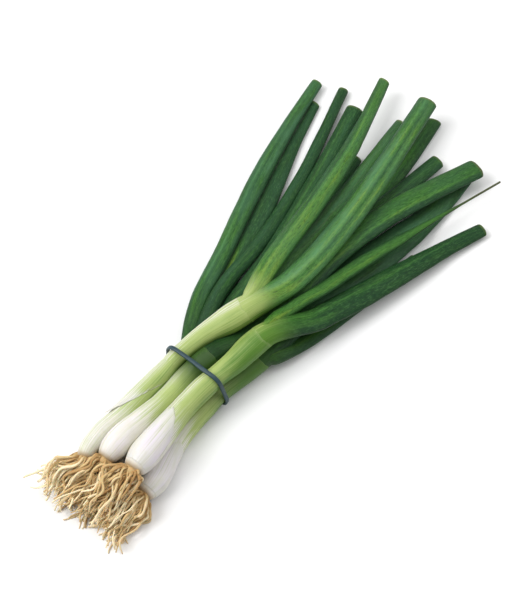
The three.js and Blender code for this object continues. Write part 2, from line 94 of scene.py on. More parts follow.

# Leaves. tone: 0 is yellow-green and 1 dark blue-green. bloom_and_sheen: the waxy grey film, and painted
# sheen in stripes along ridges. base: how far the pale foot reaches. brown: how brown the cut rim is. main:
# it grows from the whole mouth, and its foot's curve reaches this far past it. dry: it ends in a dried tip.
# ridge: (degrees round, height). belly: (place as a share of the length, how much wider it is there, how far
# it leans there).
# Stripes: (degrees round, width in degrees, change of tone, change of bloom and sheen, from, to), the last
# two as shares of the length. 0 degrees is the side towards -Y, 90 the top and 180 the side towards +Y.
# Stripes are partly the leaf's own streaks and partly painted light: painted shade in creases, painted
# highlight lines along ridges, and one side painted lighter and the other darker.
# Distances are in millimetres.
LEAVES = {
    "onion_1_leaf_1": dict(
        tone=0.5, bloom_and_sheen=0.22, base=26,
        stripes=[
            (96, 8, -0.25, 0.12, 0, 0.85), (118, 7, 0.3, 0, 0.1, 0.9), (35, 45, -0.16, 0, 0.05, 0.7),
            (150, 40, 0.25, 0, 0.2, 1),
        ],
    ),
    "onion_1_leaf_2": dict(
        tone=0.75, bloom_and_sheen=0.2,
        stripes=[
            (100, 25, 0, 0.25, 0.2, 0.9),
        ],
    ),
    "onion_1_leaf_3": dict(
        main=30, tone=0.54, bloom_and_sheen=0.3, base=20, brown=0.5, ridge=(88, 0.06),
        stripes=[
            (97, 7, -0.3, 0.3, 0.1, 0.97), (74, 7, 0.35, -0.1, 0.15, 0.95),
            (50, 6, -0.3, 0.1, 0.2, 0.9), (110, 20, -0.05, 0.45, 0.0, 0.85),
            (20, 40, -0.12, 0, 0, 0.8), (160, 40, 0.2, 0, 0, 1),
        ],
    ),
    "onion_2_leaf_1": dict(
        tone=0.58, bloom_and_sheen=0.03, base=5, dry=True,
        stripes=[
            (60, 25, -0.22, 0, 0, 0.7), (150, 40, 0.2, 0, 0, 1),
        ],
    ),
    "onion_2_leaf_2": dict(
        main=36, tone=1.0, bloom_and_sheen=0.0, base=20, ridge=(80, 0.03),
        stripes=[
            (106, 6, -0.25, 0.1, 0.1, 0.95), (60, 10, -0.15, 0, 0.1, 0.8),
            (120, 30, -0.12, 0, 0.1, 0.9),
        ],
    ),
    "onion_3_leaf_1": dict(
        tone=0.9, bloom_and_sheen=0.1, base=1,
        stripes=[
            (90, 8, -0.2, 0.1, 0.1, 0.95),
        ],
    ),
    "onion_3_leaf_2": dict(
        main=30, tone=0.62, bloom_and_sheen=0.12, base=1, brown=0.7, ridge=(62, 0.07),
        stripes=[
            (62, 7, -0.4, 0.05, 0.3, 0.9), (20, 40, 0.25, 0, 0.2, 1),
        ],
    ),
    "onion_4_leaf_1": dict(
        tone=0.74, bloom_and_sheen=0.28, base=6, belly=(0.68, 0.2, 0.5),
        stripes=[
            (110, 7, -0.2, 0.2, 0.1, 0.95), (88, 6, 0.25, 0, 0.1, 0.9), (170, 18, -0.1, 0.4, 0.0, 1),
            (60, 20, 0, 0.2, 0.5, 1),
        ],
    ),
    "onion_4_leaf_2": dict(
        main=30, tone=1.0, bloom_and_sheen=0.08, base=8, belly=(0.6, 0.1, 0),
        stripes=[
            (112, 15, -1.1, 0, 0, 0.42), (60, 30, -0.05, 0.05, 0.3, 1),
        ],
    ),
    "onion_4_leaf_3": dict(
        tone=1.0, bloom_and_sheen=0.06, base=8,
        stripes=[
            (75, 8, -0.2, 0, 0, 0.9), (110, 20, 0, 0.12, 0, 1),
        ],
    ),
    "onion_5_leaf_1": dict(
        belly=(0.6, 0.3, 3), main=34, tone=0.82, bloom_and_sheen=0.3, base=8,
        stripes=[
            (100, 40, 0, 0.1, 0.3, 1),
        ],
    ),
    "onion_5_leaf_2": dict(
        tone=0.7, bloom_and_sheen=0.05, base=12,
        stripes=[
            (80, 10, -0.3, 0, 0.1, 0.95),
        ],
    ),
    "onion_6_leaf_1": dict(
        main=30, tone=0.93, bloom_and_sheen=0.05, base=8, ridge=(100, 0.04),
        stripes=[
            (112, 7, -0.25, 0.15, 0.1, 0.95), (85, 20, -0.15, 0.15, 0.1, 1),
        ],
    ),
    "onion_6_leaf_2": dict(
        tone=0.85, bloom_and_sheen=0.1,
        stripes=[],
    ),
    "onion_6_leaf_3": dict(
        tone=0.7, bloom_and_sheen=0.1,
        stripes=[
            (95, 8, -0.25, 0.1, 0.1, 0.95),
        ],
    ),
}

# How much of the mouth each leaf's foot takes, as half width and half height, in a plant with 2 or 3 leaves.
SEATS = {
    2: [(0.56, 0.85), (0.56, 0.85)],
    3: [(0.56, 0.62), (0.62, 0.5), (0.56, 0.62)],
}

# Outer skins: start and torn end along the shaft, middle and half width in degrees round it, lift of the
# torn edge, and how far its sides fall short of its middle. Distances are in millimetres.
SKINS = {
    "onion_1": (72, 25, 150, 168, 1.7, 46),
    "onion_2": (4, 40, 110, 95, 0.05, 16),
    "onion_5": (4, 34, 50, 95, 0.3, 8),
}


def smooth(value, low, high):
    """0 up to low and 1 from high on, with a soft step between them."""
    t = np.clip((np.asarray(value, float) - low) / (high - low), 0, 1)
    return t * t * (3 - 2 * t)


def bell(value):
    return np.exp(-(value ** 2))


def wrapped(angle):
    """Angles in radians, brought to within half a turn of zero."""
    return np.angle(np.exp(1j * angle))


def unit(vectors):
    return vectors / np.linalg.norm(vectors, axis=-1)[..., None]


def wave(seed, value, count=4):
    """Smooth noise of one or more values, within about -1 and 1."""
    random = np.random.default_rng(seed)
    total = np.zeros(np.shape(value))
    for k in range(count):
        size = random.uniform(0.5, 1)
        pitch = k + 1 + random.uniform(-0.3, 0.3)
        total = total + size * np.sin(value * pitch + random.uniform(0, PHASES))
    return total / (0.75 * count)


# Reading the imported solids


def solid_of(node):
    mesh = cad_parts[node].data
    mesh.calc_loop_triangles()
    points = np.zeros(len(mesh.vertices) * 3, np.float32)
    mesh.vertices.foreach_get("co", points)
    triangles = np.zeros(len(mesh.loop_triangles) * 3, np.int32)
    mesh.loop_triangles.foreach_get("vertices", triangles)
    return points.reshape(-1, 3).astype(float), triangles.reshape(-1, 3)


def cut_at(points, triangles, x):
    """The points, as (y, z), where a solid's edges cross a plane of constant x."""
    corners = points[triangles]
    apart = corners[:, :, 0] - x
    found = []
    for i, j in ((0, 1), (1, 2), (2, 0)):
        crossed = apart[:, i] * apart[:, j] < 0
        t = apart[crossed, i] / (apart[crossed, i] - apart[crossed, j])
        a, b = corners[crossed, i], corners[crossed, j]
        found.append((a + t[:, None] * (b - a))[:, 1:])
    return np.concatenate(found)


def blur(values, width):
    """Smooths values along their first axis, and holds their ends."""
    reach = int(3 * width)
    weights = np.exp(-0.5 * (np.arange(-reach, reach + 1) / width) ** 2)
    weights /= weights.sum()
    first = 2 * values[:1] - values[reach:0:-1]
    last = 2 * values[-1:] - values[-2 : -reach - 2 : -1]
    padded = np.concatenate([first, values, last])
    if padded.ndim == 1:
        return np.convolve(padded, weights, "valid")
    return np.stack([np.convolve(column, weights, "valid") for column in padded.T], 1)


def distances(points):
    """How far along a line of points each one is."""
    return np.concatenate([[0], np.cumsum(np.linalg.norm(np.diff(points, axis=0), axis=1))])


def cuts_of(points, triangles, is_round):
    """Centres, half widths and half heights of upright cuts through a leaf or shaft, short of its ends."""
    low, high = points[:, 0].min(), points[:, 0].max()
    # Two cuts 8 mm apart tell how much it slants sideways, and so how far the last cut stays from its end.
    near, far = (cut_at(points, triangles, high - back * MM) for back in (24, 16))
    slope = abs(far[:, 0].max() + far[:, 0].min() - near[:, 0].max() - near[:, 0].min()) / (16 * MM)
    margin = 5.5 * MM if is_round else 1.2 * MM + slope * (far[:, 0].max() - far[:, 0].min())
    centre, wide, tall = [], [], []
    for x in np.arange(low + 2.5 * MM, high - margin, STATION):
        cut = cut_at(points, triangles, x)
        least, most = cut.min(0), cut.max(0)
        half = (most - least) / 2
        # A shaft is measured from its top.
        z = most[1] - half[0] if is_round else (least[1] + most[1]) / 2
        centre.append((x, (least[0] + most[0]) / 2, z))
        wide.append(half[0])
        tall.append(half[0] if is_round else half[1])
    return np.array(centre), np.array(wide), np.array(tall)


def strand_of(node, is_round):
    """Centres, half widths and half heights along a leaf or shaft, one for each station."""
    points, triangles = solid_of(node)
    centre, wide, tall = cuts_of(points, triangles, is_round)
    # A slanting strand is narrower than its upright cut.
    ahead = unit(np.gradient(centre, axis=0))
    wide *= ahead[:, 0] / np.hypot(ahead[:, 0], ahead[:, 1])
    tall *= ahead[:, 0] / np.hypot(ahead[:, 0], ahead[:, 2])
    if is_round:
        tall = wide
    # It goes on straight to the solid's ends.
    ends = []
    for k, sign in ((0, -1), (-1, 1)):
        reach = points @ (ahead[k] * sign)
        here = centre[k] @ (ahead[k] * sign)
        ends.append(centre[k] + ahead[k] * sign * (reach.max() - here))
    centre = np.concatenate([ends[:1], centre, ends[1:]])
    wide = np.concatenate([wide[:1], wide, wide[-1:]])
    tall = np.concatenate([tall[:1], tall, tall[-1:]])
    along = distances(centre)
    steps = np.linspace(0, along[-1], int(along[-1] / STATION) + 1)
    centre = np.stack([np.interp(steps, along, centre[:, i]) for i in range(3)], 1)
    centre = blur(centre, 3)
    wide, tall = (blur(np.interp(steps, along, v), 2) for v in (wide, tall))
    return dict(centre=centre, wide=wide, tall=tall, along=steps, length=steps[-1])


def at(strand, along):
    """Centre, side, up, half width and half height at distances along a strand, straight on past its ends."""
    centre, steps = strand["centre"], strand["along"]
    ahead = np.gradient(centre, steps, axis=0)
    ahead = unit(np.stack([np.interp(along, steps, ahead[:, i]) for i in range(3)], -1))
    spot = np.stack([np.interp(along, steps, centre[:, i]) for i in range(3)], -1)
    beyond = np.maximum(along - steps[-1], 0) + np.minimum(along, 0)
    spot = spot + ahead * beyond[..., None]
    side = unit(np.cross(ahead, (0, 0, 1)))
    up = np.cross(side, ahead)
    return spot, side, up, np.interp(along, steps, strand["wide"]), np.interp(along, steps, strand["tall"])


# Meshes


def link(name, points, faces, values, material):
    mesh = bpy.data.meshes.new(name)
    mesh.from_pydata(points.reshape(-1, 3).tolist(), [], faces)
    for key, field in values.items():
        field = np.asarray(field, np.float32)
        if field.ndim == 2:
            mesh.attributes.new(key, "FLOAT_VECTOR", "POINT").data.foreach_set("vector", field.ravel())
        else:
            mesh.attributes.new(key, "FLOAT", "POINT").data.foreach_set("value", field.ravel())
    mesh.polygons.foreach_set("use_smooth", [True] * len(mesh.polygons))
    mesh.materials.append(material)
    made = bpy.data.objects.new(name, mesh)
    bpy.context.scene.collection.objects.link(made)
    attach(made, "root")
    return made


def grid_faces(rows, columns, start=0):
    """Faces of a tube of rings. Each end is closed with a point, and these follow the rings' points."""
    faces = []
    for r in range(rows - 1):
        for c in range(columns):
            a, b = start + r * columns + c, start + r * columns + (c + 1) % columns
            faces.append((a, b, b + columns, a + columns))
    tip = start + rows * columns
    faces += [(tip, start + (c + 1) % columns, start + c) for c in range(columns)]
    last = start + (rows - 1) * columns
    faces += [(last + c, last + (c + 1) % columns, tip + 1) for c in range(columns)]
    return faces


def tube(name, rings, values, material):
    """A closed tube from rings (rows, columns, 3), with values (rows, columns) for its points."""
    rows, columns = rings.shape[:2]
    points = np.concatenate([rings.reshape(-1, 3), rings[:1].mean(1), rings[-1:].mean(1)])
    spread = {}
    for key, field in values.items():
        flat = field.reshape(rows * columns, *field.shape[2:])
        spread[key] = np.concatenate([flat, field[:1].mean(1), field[-1:].mean(1)])
    return link(name, points, grid_faces(rows, columns), spread, material)


def turn_of(columns):
    return np.linspace(0, 2 * math.pi, columns, endpoint=False)


def grids(rows, columns):
    """One grid of rows by columns for each entry that the rows hold."""
    return [np.array(entry)[:, None] + np.zeros(columns) for entry in zip(*rows)]


def rings_of(spot, side, up, half_wide, half_tall, around):
    """Ellipses round the spots."""
    sideways = (half_wide * np.cos(around))[..., None]
    upward = (half_tall * np.sin(around))[..., None]
    return spot + side * sideways + up * upward


def strip_of(around, along):
    """(cosine, sine, millimetres along), so that noise can be drawn out along a piece.

    What the callers add to the last one shifts the noise, so that no two pieces look alike.
    """
    around, along = np.broadcast_arrays(around, along)
    return np.stack([np.cos(around), np.sin(around), along], -1)


# Materials. Colours are linear red, green and blue.

CREAM = (0.68, 0.66, 0.58)
WHITE = (0.8, 0.77, 0.76)
WHITE_VEIN = (0.62, 0.6, 0.44)
LILAC = (0.7, 0.6, 0.7)
STEM_PALE = (0.37, 0.46, 0.145)
STEM_GREEN = (0.085, 0.2, 0.02)
STEM_PAINTED_SHADE = (0.03, 0.08, 0.012)
STEM_RIM = (0.5, 0.53, 0.27)
SOIL = (0.42, 0.31, 0.18)
LEAF_YELLOW = (0.16, 0.29, 0.03)
LEAF_FRESH = (0.046, 0.16, 0.02)
LEAF_DARK = (0.006, 0.043, 0.012)
LEAF_GRAIN_DARK = (0.003, 0.022, 0.006)
LEAF_GRAIN_LIGHT = (0.13, 0.3, 0.09)
LEAF_BLOOM_AND_SHEEN = (0.1, 0.26, 0.13)
LEAF_SHADE = (0.008, 0.03, 0.008)
LEAF_INSIDE = (0.2, 0.3, 0.07)
DRY_DARK = (0.05, 0.055, 0.028)
DRY_LIGHT = (0.15, 0.135, 0.07)
ROOT_DARK = (0.4, 0.23, 0.08)
ROOT_STRAW = (0.65, 0.47, 0.22)
ROOT_PALE = (0.92, 0.79, 0.52)
ROOT_GRAIN = (0.36, 0.2, 0.07)
RUBBER_DARK = (0.01, 0.034, 0.045)
RUBBER_DUSTY = (0.026, 0.075, 0.088)
FLOOR_WHITE = (0.9, 0.9, 0.9, 1)


class Nodes:
    """A small helper for building a material's nodes."""

    def __init__(self, name):
        self.material = bpy.data.materials.new(name)
        self.material.use_nodes = True
        self.tree = self.material.node_tree
        self.shader = self.tree.nodes["Principled BSDF"]

    def put(self, value, socket):
        if isinstance(value, bpy.types.NodeSocket):
            self.tree.links.new(value, socket)
        elif socket.type == "RGBA" and len(value) == 3:
            socket.default_value = (*value, 1)
        else:
            socket.default_value = value

    def shade(self, name, value):
        self.put(value, self.shader.inputs[name])

    def node(self, kind, inputs, out=0, **settings):
        made = self.tree.nodes.new(kind)
        for key, value in settings.items():
            setattr(made, key, value)
        for key, value in inputs.items():
            self.put(value, made.inputs[key])
        return made.outputs[out]

    def value(self, name):
        return self.node("ShaderNodeAttribute", {}, "Fac", attribute_name=name)

    def vector(self, name):
        return self.node("ShaderNodeAttribute", {}, "Vector", attribute_name=name)

    def math(self, operation, a, b, clamp=False):
        return self.node("ShaderNodeMath", {0: a, 1: b}, operation=operation, use_clamp=clamp)

    def plus(self, a, b, clamp=False):
        return self.math("ADD", a, b, clamp)

    def times(self, a, b):
        return self.math("MULTIPLY", a, b)

    def swing(self, noise, amount):
        """How far a noise is from its middle, times an amount."""
        return self.times(self.math("SUBTRACT", noise, 0.5), amount)

    def mix(self, amount, a, b):
        return self.node("ShaderNodeMix", {0: amount, 6: a, 7: b}, 2, data_type="RGBA")

    def noise(self, vector, stretch, scale, detail, rough):
        drawn = self.node("ShaderNodeVectorMath", {0: vector, 1: stretch}, operation="MULTIPLY")
        inputs = {"Vector": drawn, "Scale": scale, "Detail": detail, "Roughness": rough}
        return self.node("ShaderNodeTexNoise", inputs, "Fac")

    def ramp(self, value, low, high):
        inputs = {"Value": value, "From Min": low, "From Max": high}
        return self.node("ShaderNodeMapRange", inputs, interpolation_type="SMOOTHSTEP")

    def between(self, value, low, high):
        return self.node("ShaderNodeMapRange", {"Value": value, "To Min": low, "To Max": high})

    def bump(self, height, strength, distance):
        return self.node("ShaderNodeBump", {"Height": height, "Strength": strength, "Distance": distance})


def stem_tint(n, veins, cloud):
    """The colour of a shaft, white to green with drawn-out streaks and painted shade. The feet of the leaves
    have it too.
    """
    white = n.mix(n.ramp(cloud, 0.3, 0.7), CREAM, WHITE)
    white = n.mix(n.times(n.ramp(veins, 0.45, 0.7), 0.35), white, WHITE_VEIN)
    pink = n.times(n.value("pink"), n.ramp(cloud, 0.35, 0.7))
    white = n.mix(pink, white, LILAC)
    green = n.plus(n.value("green"), n.swing(veins, 0.8))
    green = n.plus(green, n.swing(cloud, 0.35), True)
    color = n.mix(n.ramp(green, 0.03, 0.42), white, STEM_PALE)
    color = n.mix(n.ramp(green, 0.38, 1.0), color, STEM_GREEN)
    # Painted shade where the shaft lies under the others, past the band.
    return n.mix(n.value("painted_shade"), color, STEM_PAINTED_SHADE)


def leaf_material():
    n = Nodes("leaf_green")
    strip = n.vector("strip")
    veins = n.noise(strip, (9, 9, 0.012), 1.6, 4, 0.6)
    fine = n.noise(strip, (26, 26, 0.03), 1.3, 2, 0.5)
    cloud = n.noise(strip, (0.9, 0.9, 0.03), 1.3, 3, 0.55)
    grain = n.noise(strip, (6, 6, 0.22), 1.5, 4, 0.75)
    tone = n.plus(n.value("tone"), n.swing(veins, 0.85))
    tone = n.plus(tone, n.swing(cloud, 0.65), True)
    light = n.mix(n.ramp(tone, 0.0, 0.45), LEAF_YELLOW, LEAF_FRESH)
    color = n.mix(n.ramp(tone, 0.35, 1.0), light, LEAF_DARK)
    color = n.mix(n.times(n.ramp(grain, 0.45, 0.7), 0.75), color, LEAF_GRAIN_DARK)
    color = n.mix(n.times(n.ramp(grain, 0.5, 0.3), 0.28), color, LEAF_GRAIN_LIGHT)
    # The waxy film, with painted sheen where the stripes put it.
    bloom_and_sheen = n.times(n.value("bloom_and_sheen"), n.ramp(cloud, 0.2, 0.75))
    color = n.mix(bloom_and_sheen, color, LEAF_BLOOM_AND_SHEEN)
    # Streaks break up the edge of the pale foot.
    foot = n.value("pale")
    streaks = n.swing(veins, n.times(n.ramp(foot, 1, 0.5), 0.8))
    pale = n.plus(foot, streaks, True)
    color = n.mix(pale, color, stem_tint(n, veins, cloud))
    # Painted shade on the feet of leaves whose shaft lies under the others.
    color = n.mix(n.times(n.value("painted_shade"), 0.75), color, LEAF_SHADE)
    color = n.mix(n.value("inside"), color, LEAF_INSIDE)
    straw = n.mix(n.ramp(fine, 0.35, 0.65), DRY_DARK, DRY_LIGHT)
    n.shade("Base Color", n.mix(n.value("dry"), color, straw))
    n.shade("Roughness", n.between(cloud, 0.33, 0.5))
    height = n.plus(n.plus(veins, n.times(fine, 0.5)), n.times(cloud, 1.5))
    n.shade("Normal", n.bump(height, 0.45, 0.0006))
    n.shade("Specular IOR Level", 0.2)
    n.shade("Subsurface Weight", 0.08)
    n.shade("Subsurface Radius", (0.4, 0.8, 0.2))
    n.shade("Subsurface Scale", 0.002)
    return n.material


def shaft_material():
    n = Nodes("shaft_pale")
    strip = n.vector("strip")
    veins = n.noise(strip, (7, 7, 0.01), 1.6, 4, 0.6)
    fine = n.noise(strip, (22, 22, 0.02), 1.4, 2, 0.5)
    cloud = n.noise(strip, (1.1, 1.1, 0.05), 1.2, 3, 0.5)
    color = stem_tint(n, veins, cloud)
    color = n.mix(n.value("rim"), color, STEM_RIM)
    color = n.mix(n.value("soil"), color, SOIL)
    n.shade("Base Color", color)
    n.shade("Roughness", n.between(cloud, 0.38, 0.52))
    n.shade("Specular IOR Level", 0.35)
    height = n.plus(n.plus(veins, n.times(fine, 0.35)), cloud)
    n.shade("Normal", n.bump(height, 0.4, 0.0006))
    n.shade("Subsurface Weight", 0.2)
    n.shade("Subsurface Radius", (1.0, 0.8, 0.5))
    n.shade("Subsurface Scale", 0.002)
    return n.material


def root_material():
    n = Nodes("root_straw")
    grain = n.noise(n.vector("strip"), (1.5, 1.5, 0.35), 1.6, 4, 0.6)
    # The dark end is reached mostly through painted shade, deep in the tuft and near the plate.
    color = n.mix(n.ramp(n.value("root_tone_and_shade"), 0, 0.5), ROOT_DARK, ROOT_STRAW)
    color = n.mix(n.ramp(n.value("root_tone_and_shade"), 0.4, 1), color, ROOT_PALE)
    color = n.mix(n.times(n.ramp(grain, 0.45, 0.75), 0.4), color, ROOT_GRAIN)
    n.shade("Base Color", color)
    n.shade("Normal", n.bump(grain, 0.4, 0.0003))
    n.shade("Roughness", 0.75)
    n.shade("Subsurface Weight", 0.1)
    n.shade("Subsurface Scale", 0.0008)
    return n.material


def band_material():
    n = Nodes("rubber_blue")
    dust = n.noise(n.vector("strip"), (1.2, 1.2, 0.25), 2.0, 5, 0.65)
    n.shade("Base Color", n.mix(n.ramp(dust, 0.35, 0.75), RUBBER_DARK, RUBBER_DUSTY))
    n.shade("Roughness", n.between(dust, 0.35, 0.6))
    n.shade("Normal", n.bump(dust, 0.25, 0.0002))
    return n.material


def floor_material():
    n = Nodes("pale_floor")
    n.shade("Base Color", FLOOR_WHITE)
    n.shade("Roughness", 0.9)
    n.shade("Specular IOR Level", 0.1)
    return n.material


LEAF, SHAFT, ROOT, BAND = leaf_material(), shaft_material(), root_material(), band_material()

# Leaves


def leaf_rows(length, dry):
    """For each ring of a leaf: distance along, how far in from the outside, and whether it is inside."""
    outer = np.arange(0.6 * MM, length - 3 * MM, 1.7 * MM)
    outer = np.concatenate([outer, length - np.array([2.2, 1.4, 0.9, 0.6]) * MM])
    rows = [(s, 0.0, 0.0) for s in outer]
    if dry:
        return rows + [(length - 0.3 * MM, 0.0, 0.0), (length, 0.0, 0.0)]
    for k in range(1, 6):
        a = math.pi * k / 6
        s = length - LEAF_LIP_START + LEAF_LIP * math.sin(a)
        rows.append((s, LEAF_WALL * (1 - math.cos(a)) / 2, k / 6))
    rows += [(length - LEAF_LIP_START - s * MM, LEAF_WALL, 1.0) for s in (0.4, 1.2, 2.5, 5, 9, 14, 20, 26)]
    rows.append((length - LEAF_DEEP, LEAF_WALL * 1.6, 1.0))
    return rows


def main_foot(shaft_strand, strand, reach, s, placed):
    """A main leaf's foot goes on from the whole mouth of its shaft and narrows to the leaf along a curve."""
    spot, side, up, wide, tall = placed
    before = shaft_strand["length"] - SOCKET
    stem = at(shaft_strand, before + s)
    start, stop = SOCKET - 4 * MM, SOCKET + reach * MM
    gates = [at(shaft_strand, np.array([before + start])), at(strand, np.array([stop]))]
    first, last = [gate[0][0] for gate in gates]
    leave, arrive = [np.cross(gate[2][0], gate[1][0]) * ((stop - start) * 0.9) for gate in gates]
    t = np.clip((s - start) / (stop - start), 0, 1)[..., None]
    curve = first * (2 * t ** 3 - 3 * t ** 2 + 1) + last * (3 * t ** 2 - 2 * t ** 3)
    curve = curve + leave * (t ** 3 - 2 * t ** 2 + t) + arrive * (t ** 3 - t ** 2)
    inside, past = s[..., None] < start, s[..., None] > stop
    spot = np.where(inside, stem[0], np.where(past, spot, curve))
    flow = 1 - smooth(s, start, stop)
    side = unit(side + (stem[1] - side) * flow[..., None])
    up = unit(up + (stem[2] - up) * flow[..., None])
    snug = 0.8 + 0.14 * smooth(s, SOCKET - 7 * MM, SOCKET - 3 * MM)
    mouth = shaft_strand["wide"][-1] * snug
    wide = wide + (mouth * (1 + shaft_strand["broad"]) - wide) * flow
    tall = tall + (mouth - tall) * flow
    return spot, side, up, wide, tall


def leaf_values(look, stem_look, seed, x, s, from_bulb, share, around, rim, inside):
    """What a leaf's material reads at each point."""
    dry = look.get("dry", False)
    painted_shade = stem_look.get("painted_shade", 0)
    base = look.get("base", 8)
    past = (s - SOCKET) / MM
    tone = look["tone"] + 0.1 * (share - 0.4) + 0.07 * wave(seed + 3, 7 * share + np.sin(around))
    # Painted shade: both sides of the leaf, where it turns away, are darker.
    tone = tone + 0.3 * np.abs(np.cos(around)) ** 3 - 0.05
    bloom_and_sheen = look["bloom_and_sheen"] * smooth(share, 0.05, 0.3)
    # Stripes: the leaf's own streaks, painted shade in creases, painted highlights along ridges and painted
    # lighter and darker sides.
    for angle, width, more_tone, more_bloom_and_sheen, start, stop in look["stripes"]:
        away = wrapped(around - math.radians(angle) - 0.12 * wave(seed + 4, 4 * share))
        here = bell(away / math.radians(width))
        here = here * smooth(share, start - 0.1, start + 0.1) * (1 - smooth(share, stop - 0.08, stop + 0.1))
        tone = tone + more_tone * here
        bloom_and_sheen = bloom_and_sheen + more_bloom_and_sheen * here
    # Near the foot the tone is paler, and darker with painted shade on a plant that lies under the others.
    tone = tone + (0.3 * painted_shade - 0.2) * (1 - smooth(past, 0, 3 * base + 10))
    values = stem_colors(x, around, from_bulb, stem_look)
    values["green"] = np.maximum(values["green"], 0.4)
    # Painted shade on the leaf's foot, fading out along it.
    values["painted_shade"] = painted_shade * (1 - smooth(past, 12, 60))
    values["tone"] = np.clip(tone, 0, 1)
    values["bloom_and_sheen"] = np.clip(bloom_and_sheen, 0, 0.75)
    pale = stem_look["foot"] * (1 - smooth(past, 0, base)) + (0 if dry else 0.35) * rim
    values["pale"] = np.clip(pale, 0, 1)
    values["inside"] = inside * (0 if dry else 1)
    values["dry"] = 0.8 * smooth(share, 0.74, 0.92) if dry else look.get("brown", 0.25) * rim
    values["strip"] = strip_of(around, s / MM + 37.0 * seed)
    return values


def leaf_course(look, strand, shaft_strand, seat, s, share):
    """Centre, side, up, half width and half height along a leaf, with its foot in its shaft's mouth."""
    # It is wider sooner than the solid, once it is out of the mouth.
    ahead = 15 * MM * smooth(s, 7 * MM, 15 * MM) * (1 - smooth(s, 16 * MM, 55 * MM))
    spot, side, up, wide, tall = at(strand, s)
    grown_wide, grown_tall = at(strand, s + ahead)[3:]
    wide, tall = np.maximum(wide, grown_wide), np.maximum(tall, grown_tall)
    belly, gain, lean = look.get("belly", (0.6, 0.0, 0.0))
    here = bell((share - belly) / 0.2)
    wide = wide * (1 + gain * here)
    spot = spot - side * (lean * MM * here)[..., None]
    # Its foot fills its part of the mouth.
    mouth = 0.94 * shaft_strand["wide"][-1] - 0.5 * MM
    fill = smooth(s, 4 * MM, 9 * MM) * (1 - smooth(s, SOCKET + 3 * MM, SOCKET + 34 * MM))
    wide, tall = np.maximum(wide, seat[0] * mouth * fill), np.maximum(tall, seat[1] * mouth * fill)
    placed = spot, side, up, wide, tall
    if "main" in look:
        placed = main_foot(shaft_strand, strand, look["main"], s, placed)
    return placed


def leaf_swell(look, seed, share, around):
    """Soft swells and dents, and a ridge."""
    swell = 1 + 0.022 * wave(seed, 9 * share + 0.6 * np.sin(around))
    swell = swell + 0.012 * wave(seed + 1, 22 * share + np.cos(around))
    ridge, height = look.get("ridge", (90, 0.0))
    off = wrapped(around - math.radians(ridge) - 0.25 * wave(seed + 2, 3 * share))
    return swell + height * (bell(off / 0.2) - 0.35 * bell(off / 0.75)) * smooth(share, 0.08, 0.25)


def leaf(node, look, stem_look, shaft_strand, seat, seed):
    """One leaf. Its foot stands in its shaft's mouth, or goes on from the whole shaft in a main leaf."""
    strand = strand_of(node, False)
    length = strand["length"]
    dry = look.get("dry", False)
    whole, into, inside = grids(leaf_rows(length, dry), LEAF_COLUMNS)
    share = np.clip(whole / length, 0, 1)
    around = turn_of(LEAF_COLUMNS) + np.zeros_like(whole)
    # The cut isn't quite square, and its sides are drawn back a little.
    slope = np.random.default_rng(seed).uniform(-0.22, 0.22)
    slant = (abs(slope) + slope * np.cos(around)) * 5 * MM
    drawn = 0.16 * strand["wide"][-1] * np.abs(np.cos(around)) ** 4
    s = whole if dry else whole - smooth(whole, length - 12 * MM, length - 1 * MM) * (slant + drawn)
    spot, side, up, wide, tall = leaf_course(look, strand, shaft_strand, seat, s, share)
    swell = leaf_swell(look, seed, share, around)
    if not dry:
        # The rim is drawn in and pinched where it was cut.
        swell = swell * (1 - 0.05 * smooth(s, length - 4 * MM, length))
        squeeze = np.random.default_rng(seed + 5).uniform(0.2, 1)
        pinch = 0.12 * smooth(s, length - 7 * MM, length) * squeeze
        tall = tall * (1 - pinch)
        wide = wide * (1 + 0.15 * pinch)
    half_wide = np.maximum(wide * swell - into, LEAST_RADIUS)
    half_tall = np.maximum(tall * swell - into, LEAST_RADIUS)
    # A leaf is a little flatter below than above.
    half_tall = half_tall * np.where(np.sin(around) < 0, 0.97, 1.0)
    rings = rings_of(spot, side, up, half_wide, half_tall, around)
    edge = length - slant
    rim = smooth(s, edge - drawn - 1.9 * MM, edge - 0.9 * MM)
    from_bulb = whole / MM + shaft_strand["length"] / MM
    x = rings[..., 0] / MM
    values = leaf_values(look, stem_look, seed, x, s, from_bulb, share, around, rim, inside)
    made = tube(node + "_look", rings, values, LEAF)
    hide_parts(node)


# Shafts


def shaft_rows(length):
    """For each ring of a shaft: distance along, how far in from the outside, and whether it is inside."""
    base = np.array([0.15, 0.5, 1.1, 2, 3.2]) * MM
    stem = np.arange(4.6 * MM, length - 2 * MM, 1.6 * MM)
    rows = [(s, 0.0, 0.0) for s in np.concatenate([base, stem, length - np.array([1.3, 0.7, 0.25]) * MM])]
    rows += [(length, 0.15 * MM, 0.5), (length - 0.1 * MM, 0.35 * MM, 0.8)]
    rows.append((length - 0.8 * MM, 0.45 * MM, 1.0))
    return rows + [(length - s * MM, 0.6 * MM, 1.0) for s in (2, 4, 6.5, 8.5)]


def shaft_swell(seed, s, length, around):
    """Ribs and soft swells, and the low steps where older sheaths end along the stem."""
    share = s / length
    ribs = 0.006 * wave(seed + 1, 11 * around, 5) * smooth(s, 8 * MM, 30 * MM)
    swell = 1 + ribs + 0.012 * wave(seed + 2, 6 * share + np.sin(around))
    swell = swell + 0.008 * wave(seed + 3, 15 * share + 2 * np.cos(around))
    for k in range(2):
        edge = length * (0.42 + 0.2 * k) + 5 * MM * np.sin(around + seed + 2 * k)
        step = 1 - smooth(s, edge - 0.6 * MM, edge + 0.6 * MM)
        swell = swell + 0.028 * step * smooth(s, edge - 30 * MM, edge)
    return swell


